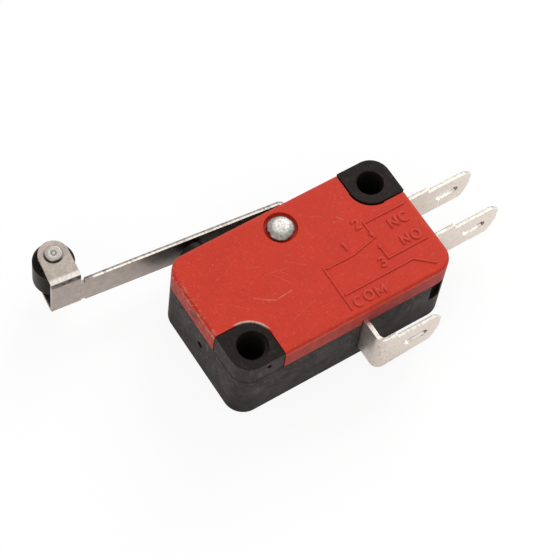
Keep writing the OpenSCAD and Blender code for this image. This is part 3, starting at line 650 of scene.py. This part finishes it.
def worked_metal(name, colour, roughness, lines):
    """Plain worked metal of the inner parts: rolled or drawn lines and light stains. lines says how fine the
    pattern is along each axis."""
    f = Finish(name, Metallic=1.0)
    grain = f.noise(1.0, 4, 0.6, f.stretch(*lines))
    stain = f.noise(0.8, 4, 0.6)
    tone = f.blend(stain.ramp(0.3, 0.8), opaque(colour), shade(colour, 0.78))
    return f.wear(Base_Color=tone, Roughness=roughness + grain * 0.15, Normal=f.bump(grain, 0.006, 0.5))


def rim_distance(f, low, high, radius):
    """Distance in millimetres outside the rounded outline between two corners, seen along Z. Inside it the
    distance is negative."""
    half = (high - low) / 2
    middle = (high + low) / 2
    u = abs(f.x - middle[0]) - (half[0] - radius)
    v = abs(f.y - middle[1]) - (half[1] - radius)
    outside = (u.high(0.0) ** 2.0 + v.high(0.0) ** 2.0).root()
    return outside + u.high(v).low(0.0) - radius


def lever_frame(f):
    """Place along the lever's strip from the hinge, and across it."""
    slope = np.radians(LEVER_TILT)
    u, v = f.x - HINGE[0], f.y - HINGE[1]
    return u * np.cos(slope) - v * np.sin(slope), u * np.sin(slope) + v * np.cos(slope)


def dress(node, material):
    """Gives a node this finish as its only one."""
    mesh = NODES[node].data
    mesh.materials.clear()
    mesh.materials.append(material)


def finish_piece(piece, material, body):
    """Gives a new piece its finish and its body."""
    piece.data.materials.clear()
    piece.data.materials.append(material)
    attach(piece, body)


# ---- settings ----


def length(name, description, default, low, high):
    """A length property in millimetres."""
    return bpy.props.FloatProperty(name=name, description=description, default=default, min=low, max=high)


def amount(name, description, default, unit="NONE"):
    """A property that can't be negative."""
    return bpy.props.FloatProperty(name=name, description=description, default=default, min=0.0, unit=unit)


def tint(name, description, default):
    """A linear colour property."""
    return bpy.props.FloatVectorProperty(
        name=name, description=description, default=default, subtype="COLOR", size=3, min=0.0, max=1.0
    )


class SwitchSizes(bpy.types.PropertyGroup):
    """Sizes of the fine parts, in millimetres."""

    line_w: length("Line width", "Width of the moulded circuit lines (mm)", 0.2, 0.1, 0.4)
    line_h: length("Line height", "Height of the moulded circuit lines (mm)", 0.13, 0.02, 0.14)
    letter_w: length("Stroke width", "Width of the moulded letters' strokes (mm)", 0.32, 0.1, 0.5)
    letter_h: length("Letter height", "Height of the moulded letters (mm)", 1.1, 0.8, 1.6)
    rivet_flat: length("Struck flat", "Radius of the hinge rivet's struck middle (mm)", 0.8, 0.4, 1.1)


class SwitchColours(bpy.types.PropertyGroup):
    """Colours of the materials."""

    case: tint("Case", "Black case moulding", (0.0145, 0.0105, 0.009))
    cover: tint("Cover", "Red cover moulding", (0.74, 0.052, 0.026))
    # Also the painted highlight on the tops of the raised lines
    cover_wear_and_highlight: tint("Cover wear", "Pale scratches and scuffs on the cover", (0.85, 0.34, 0.25))
    # Painted highlight on the lip round the near boss
    cover_lip_highlight: tint("Cover lip", "Lit lip round the near boss", (1.0, 0.72, 0.62))
    # Also the painted shade that darkens the cover's sides
    cover_skirt_film_and_shade: tint("Cover skirt", "Duller film on the cover's sides", (0.27, 0.02, 0.013))
    cover_scuff: tint("Cover scuff", "Dark rub on the cover's left side", (0.05, 0.012, 0.01))
    lever: tint("Lever", "Rolled steel strip", (0.47, 0.40, 0.355))
    # Also the painted glints and the painted highlight on the fork's bend
    lever_edge_and_highlight: tint("Lever edge", "Sheared and burnished steel", (0.78, 0.74, 0.68))
    terminal: tint("Terminals", "Tinned sheet", (0.84, 0.745, 0.665))
    terminal_edge: tint("Terminal edges", "Sheared edges of the tinned sheet", (0.86, 0.815, 0.74))
    rivet: tint("Rivet", "Hinge rivet", (0.53, 0.505, 0.475))
    pin: tint("Pin", "Peened roller pin", (0.44, 0.41, 0.38))
    roller: tint("Roller", "Black roller", (0.008, 0.0064, 0.0052))
    alloy: tint("Contact alloy", "Rolled copper alloy of the inner parts", (0.62, 0.42, 0.2))
    silver: tint("Contacts", "Silver alloy contacts", (0.82, 0.81, 0.78))
    wire: tint("Spring wire", "Drawn wire of the tension spring", (0.5, 0.49, 0.46))


class SwitchStage(bpy.types.PropertyGroup):
    """Floor, light and camera."""

    sky: amount("Sky", "Strength of the surrounding light", 0.5)
    key: amount("Key lamp", "Power of the main lamp", 1.5, unit="POWER")
    fill: amount("Fill lamp", "Power of the fill lamp", 0.3, unit="POWER")
    lens: length("Lens", "Focal length (mm)", 138.4, 20.0, 500.0)


# ---- pieces ----


class SWITCH_OT_case(bpy.types.Operator):
    """Finishes the black case"""

    bl_idname = "switch.case"
    bl_label = "Case"

    def execute(self, context):
        dress("case", black_moulding(context.scene.switch_colours))
        return {"FINISHED"}


class SWITCH_OT_cover(bpy.types.Operator):
    """Finishes the red cover"""

    bl_idname = "switch.cover"
    bl_label = "Cover"

    def execute(self, context):
        dress("cover", red_moulding(context.scene.switch_colours))
        return {"FINISHED"}


class SWITCH_OT_markings(bpy.types.Operator):
    """Raises the circuit diagram and its generic letters on the cover"""

    bl_idname = "switch.markings"
    bl_label = "Circuit markings"

    def diagram(self, sizes):
        """The circuit's lines and its two arrowheads, with their widths, in millimetres on the cover."""
        lines = [
            [(24.03, 6.32), (18.8, 6.35)],
            [(18.72, 6.5), (18.72, 4.55)],
            [(18.98, 4.34), (15.55, 3.62), (12.0, 3.65)],
            [(11.78, 3.95), (11.74, -1.9)],
            [(23.89, 1.42), (18.68, 1.38), (18.66, 3.3)],
            [(12.0, -0.05), (20.97, -0.03), (22.91, -1.72)],
        ]
        arrows = [
            ([(18.72, 5.05), (18.72, 4.98), (18.72, 4.42)], (0.2, 0.78, 0.08)),
            ([(18.66, 2.87), (18.66, 2.94), (18.66, 3.42)], (0.2, 0.62, 0.08)),
        ]
        return [(path, sizes.line_w) for path in lines], arrows

    def letters(self, sizes):
        """The strokes of NC, NO, COM and 1, 2, 3, with their width. Each sign is drawn one unit high."""
        n = ([(0, 0), (0, 1)], [(0, 1), (0.74, 0)], [(0.74, 0), (0.74, 1)])
        c = (arc(0.42, 0.5, 0.42, 0.5, 45, 315),)
        o = (arc(0.45, 0.5, 0.45, 0.5, 0, 360, 22),)
        m = ([(0, 0), (0, 1)], [(0, 1), (0.45, 0.25)], [(0.45, 0.25), (0.9, 1)], [(0.9, 1), (0.9, 0)])
        one = ([(0, 0.75), (0.22, 1.0)], [(0.22, 1.0), (0.22, 0)])
        neck = np.vstack([arc(0.27, 0.72, 0.27, 0.28, 170, -30, 10), [(0.0, 0.0)]])
        two = (neck, [(0.0, 0.0), (0.58, 0.0)])
        upper = arc(0.25, 0.76, 0.25, 0.24, 160, -80, 10)
        lower = arc(0.25, 0.27, 0.29, 0.27, 80, -160, 12)
        three = (np.vstack([upper, lower]),)
        places = [
            (21.24, 4.36, n), (22.6, 4.38, c), (21.22, 1.95, n), (22.5, 1.87, o),
            (12.45, -1.92, c), (13.78, -1.85, o), (15.24, -2.0, m),
            (17.6, 6.15, two), (15.1, 4.4, one), (17.55, 0.78, three),
        ]
        strokes = []
        for x, y, paths in places:
            for path in paths:
                strokes.append((np.asarray(path, float) * sizes.letter_h + (x, y), sizes.letter_w))
        return strokes

    def execute(self, context):
        sizes = context.scene.switch_sizes
        lines, arrows = self.diagram(sizes)
        parts = []
        for path, width in lines + self.letters(sizes) + arrows:
            parts.append(lay_mesh("stroke", ridge(path, COVER_TOP, width, sizes.line_h)))
        piece = join_pieces("cover_markings", parts)
        finish_piece(piece, NODES["cover"].data.materials[0], "housing")
        return {"FINISHED"}


class SWITCH_OT_rivet(bpy.types.Operator):
    """Makes the peened hinge rivet"""

    bl_idname = "switch.rivet"
    bl_label = "Hinge rivet"

    def execute(self, context):
        colours, sizes = context.scene.switch_colours, context.scene.switch_sizes
        low, high = RIVET_LOW[2], RIVET_HIGH[2]
        spread = 0.12
        head = (RIVET_HIGH - RIVET_LOW)[0] / 2 + spread
        seat = high - 0.85
        shank = 0.8
        waist = 0.85
        foot = head - 0.27
        profile = [
            (0, high), (sizes.rivet_flat, high - 0.04), (head * 0.84, high - 0.2), (head, high - 0.45),
            (head, seat), (shank, seat), (shank, low + 0.5), (foot, low + 0.5), (foot, low + 0.28),
            (0.7 * foot, low + 0.03), (0, low),
        ]

        def lobes(angle, r, z):
            """An uneven rim with one nick, and a head that is beaten slightly out of true."""
            rim = np.clip((r - waist) / (head - waist), 0, 1)
            uneven = 0.018 * np.cos(3 * angle + 0.7) + 0.014 * np.cos(5 * angle + 2.0)
            uneven = uneven + 0.008 * np.cos(11 * angle)
            nick = 0.12 * np.exp(-(((angle - 3.1) / 0.16) ** 2))
            dent = 0.025 * np.cos(2 * angle + 0.5) * np.clip(r / head, 0, 1) * (z > seat + 0.2)
            return r * (1 + (uneven - 0.03) * rim) - nick * rim, z + dent * (z < high - 0.02)

        body = spin(fillet(profile, radius=0.16), HINGE, sides=120, lobes=lobes)
        piece = lay_mesh("hinge_rivet_peened", body[::-1])
        metal = peened_metal("peened rivet", colours.rivet, HINGE, head, rim=0.47)
        finish_piece(piece, metal, "housing")
        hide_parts("hinge_rivet")
        return {"FINISHED"}


class SWITCH_OT_lever(bpy.types.Operator):
    """Finishes the bent steel lever"""

    bl_idname = "switch.lever"
    bl_label = "Lever"

    def execute(self, context):
        dress("lever", steel_strip(context.scene.switch_colours))
        return {"FINISHED"}


class SWITCH_OT_roller(bpy.types.Operator):
    """Makes the roller and its peened pin"""

    bl_idname = "switch.roller"
    bl_label = "Roller and pin"

    def turn_roller(self, colours):
        """A bored ring with rounded rims and a shallow relief in both faces."""
        radius = (ROLLER_HIGH - ROLLER_LOW)[0] / 2
        bore = 0.8
        face = [
            (bore, 0.0), (radius - 0.62, 0.0), (radius - 0.55, 0.05), (radius - 0.3, 0.05), (radius, 0.3),
            (radius, 0.5),
        ]
        near = np.array([(r, ROLLER_LOW[2] + depth) for r, depth in face])
        far = np.array([(r, ROLLER_HIGH[2] - depth) for r, depth in face])[::-1]
        ring = fillet(np.vstack([near, far, near[:1]]), radius=0.08, steps=4)
        piece = lay_mesh("roller_turned", spin(ring[:-1], ROLLER_AXIS, sides=112), wrap_u=True)
        finish_piece(piece, black_roller(colours), "roller")
        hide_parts("roller")

    def peen_pin(self, colours):
        """A shank between two flat heads, each with a punch ring and an uneven rim."""
        shank = 0.75
        face = [
            (0, 0.02), (0.18, 0.02), (0.22, 0.1), (0.32, 0.1), (0.36, 0.0), (0.88, 0.02), (PIN_HEAD, 0.08),
            (PIN_HEAD, 0.35), (shank, 0.35),
        ]
        lower = np.array([(r, PIN_LOW[2] + depth) for r, depth in face])
        upper = np.array([(r, PIN_HIGH[2] - depth) for r, depth in face])[::-1]

        def lobes(angle, r, z):
            """An uneven rim on both heads."""
            rim = np.clip((r - shank) / (PIN_HEAD - shank), 0, 1)
            uneven = 0.05 + 0.02 * np.cos(4 * angle + 0.4) + 0.014 * np.cos(7 * angle)
            return r * (1 - uneven * rim), z

        profile = fillet(np.vstack([lower, upper]), radius=0.06, steps=4)
        pin = lay_mesh("roller_pin_peened", spin(profile, ROLLER_AXIS, sides=96, lobes=lobes))
        metal = peened_metal("peened pin", colours.pin, ROLLER_AXIS, PIN_HEAD, rim=0.85, ring=0.27)
        finish_piece(pin, metal, "lever_arm")
        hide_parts("roller_pin")

    def execute(self, context):
        colours = context.scene.switch_colours
        self.turn_roller(colours)
        self.peen_pin(colours)
        return {"FINISHED"}


class SWITCH_OT_plunger(bpy.types.Operator):
    """Finishes the plunger"""

    bl_idname = "switch.plunger"
    bl_label = "Plunger"

    def execute(self, context):
        dress("plunger", black_moulding(context.scene.switch_colours, "plunger moulding", smear=0.2))
        return {"FINISHED"}


class SWITCH_OT_terminals(bpy.types.Operator):
    """Finishes the three tinned terminals"""

    bl_idname = "switch.terminals"
    bl_label = "Terminals"

    def execute(self, context):
        metal = tinned_sheet(context.scene.switch_colours)
        for node in ("com_terminal", "nc_terminal", "no_terminal"):
            dress(node, metal)
        return {"FINISHED"}


class SWITCH_OT_works(bpy.types.Operator):
    """Finishes the snap mechanism inside the case"""

    bl_idname = "switch.works"
    bl_label = "Snap mechanism"

    def execute(self, context):
        colours = context.scene.switch_colours
        alloy = worked_metal("rolled alloy", colours.alloy, roughness=0.28, lines=(0.3, 14.0, 14.0))
        silver = worked_metal("silver alloy", colours.silver, roughness=0.3, lines=(6.0, 6.0, 6.0))
        wire = worked_metal("drawn wire", colours.wire, roughness=0.25, lines=(12.0, 2.0, 12.0))
        for node in ("contact_arm", "tongue"):
            dress(node, alloy)
        for node in ("nc_contact", "no_contact", "moving_contact"):
            dress(node, silver)
        dress("snap_spring", wire)
        return {"FINISHED"}


class SWITCH_OT_stage(bpy.types.Operator):
    """Sets the floor, the lamps, the surroundings and the camera"""

    bl_idname = "switch.stage"
    bl_label = "Stage"

    def floor(self):
        """A flat square of paper close under the switch, which the camera sees in a tone of its own."""
        side = np.linspace(-FLOOR_HALF / MM, FLOOR_HALF / MM, 3)
        x, y = np.meshgrid(side, side)
        plane = lay_mesh("floor", np.stack([x, y, np.full_like(x, FLOOR_HEIGHT)], -1), wrap_v=False)
        tone = shade(WHITE, FLOOR_TONE)
        f = Finish(
            "floor paper", Base_Color=tone, Emission_Color=WHITE, Emission_Strength=FLOOR_GLOW, Roughness=0.9
        )
        seen = f.add("ShaderNodeLightPath", out="Is Camera Ray")
        glow = f.add("ShaderNodeEmission", {}, {"Color": WHITE, "Strength": SEEN_GLOW})
        pale = f.add("ShaderNodeBsdfDiffuse", {}, {"Color": shade(WHITE, SEEN_TONE)})
        both = f.add("ShaderNodeAddShader", {}, {0: glow, 1: pale})
        mix = f.add("ShaderNodeMixShader", {}, {0: seen, 1: f.shader, 2: both})
        plane.data.materials.append(f.show(mix))

    def sky(self, strength):
        """Even light all round, which the camera and metal see as plain white."""
        world = bpy.data.worlds.new("studio")
        bpy.context.scene.world = world
        sky = Graph(world)
        rays = ("Is Camera Ray", "Is Glossy Ray", "Is Transmission Ray")
        camera, glossy, through = (sky.add("ShaderNodeLightPath", out=ray) for ray in rays)
        light = sky.add("ShaderNodeBackground", {}, {"Color": WHITE, "Strength": strength})
        plain = sky.add("ShaderNodeBackground", {}, {"Color": WHITE, "Strength": 1.0})
        shown = (camera + glossy + through).low(1.0)
        mix = sky.add("ShaderNodeMixShader", {}, {0: shown, 1: light, 2: plain})
        sky.add("ShaderNodeOutputWorld", {}, {"Surface": mix})

    def lamp(self, name, power, side, place):
        """A square lamp that faces the switch."""
        data = bpy.data.lights.new(name, "AREA")
        data.shape = "SQUARE"
        data.size = side
        data.energy = power
        lamp = bpy.data.objects.new(name, data)
        bpy.context.scene.collection.objects.link(lamp)
        lamp.location = place
        lamp.rotation_mode = "QUATERNION"
        lamp.rotation_quaternion = (Vector(LAMP_TARGET) - Vector(place)).to_track_quat("-Z", "Y")

    def camera(self, lens):
        """The camera, which looks down on the cover. Its up is square to the way it looks and its right."""
        data = bpy.data.cameras.new("camera")
        data.lens = lens
        data.sensor_width = SENSOR_WIDTH
        data.clip_start = 0.01
        data.clip_end = 10.0
        camera = bpy.data.objects.new("camera", data)
        bpy.context.scene.collection.objects.link(camera)
        ahead = Vector(CAMERA_AHEAD).normalized()
        right = Vector(CAMERA_RIGHT)
        right = (right - ahead * right.dot(ahead)).normalized()
        up = right.cross(ahead)
        turn = Matrix((right, up, -ahead)).transposed().to_4x4()
        turn.translation = Vector(CAMERA_PLACE) * MM
        camera.matrix_world = turn
        bpy.context.scene.camera = camera

    def execute(self, context):
        stage = context.scene.switch_stage
        self.floor()
        self.sky(stage.sky)
        self.lamp("key", stage.key, *KEY_LAMP)
        self.lamp("fill", stage.fill, *FILL_LAMP)
        self.camera(stage.lens)
        context.scene.view_settings.view_transform = "Standard"
        return {"FINISHED"}


OPERATORS = (
    SWITCH_OT_stage, SWITCH_OT_case, SWITCH_OT_cover, SWITCH_OT_markings, SWITCH_OT_rivet, SWITCH_OT_lever,
    SWITCH_OT_roller, SWITCH_OT_plunger, SWITCH_OT_terminals, SWITCH_OT_works,
)


class SWITCH_PT_panel(bpy.types.Panel):
    """Lists the switch's operators and settings"""

    bl_idname = "SWITCH_PT_panel"
    bl_label = "Lever switch"
    bl_space_type = "VIEW_3D"
    bl_region_type = "UI"
    bl_category = "Switch"

    def draw(self, context):
        layout = self.layout
        for operator in OPERATORS:
            layout.operator(operator.bl_idname)
        for group in (context.scene.switch_sizes, context.scene.switch_colours, context.scene.switch_stage):
            box = layout.box()
            for name in group.__annotations__:
                box.prop(group, name)


CLASSES = (SwitchSizes, SwitchColours, SwitchStage, *OPERATORS, SWITCH_PT_panel)


def register():
    """Adds the classes and hangs the three groups of settings on the scene."""
    for kind in CLASSES:
        bpy.utils.register_class(kind)
    bpy.types.Scene.switch_sizes = bpy.props.PointerProperty(type=SwitchSizes)
    bpy.types.Scene.switch_colours = bpy.props.PointerProperty(type=SwitchColours)
    bpy.types.Scene.switch_stage = bpy.props.PointerProperty(type=SwitchStage)


def unregister():
    """Takes the settings and the classes away again."""
    del bpy.types.Scene.switch_sizes
    del bpy.types.Scene.switch_colours
    del bpy.types.Scene.switch_stage
    for kind in reversed(CLASSES):
        bpy.utils.unregister_class(kind)


def main():
    """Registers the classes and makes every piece."""
    register()
    for operator in OPERATORS:
        group, name = operator.bl_idname.split(".")
        getattr(getattr(bpy.ops, group), name)()
    bpy.context.view_layer.update()


if __name__ == "__main__":
    main()
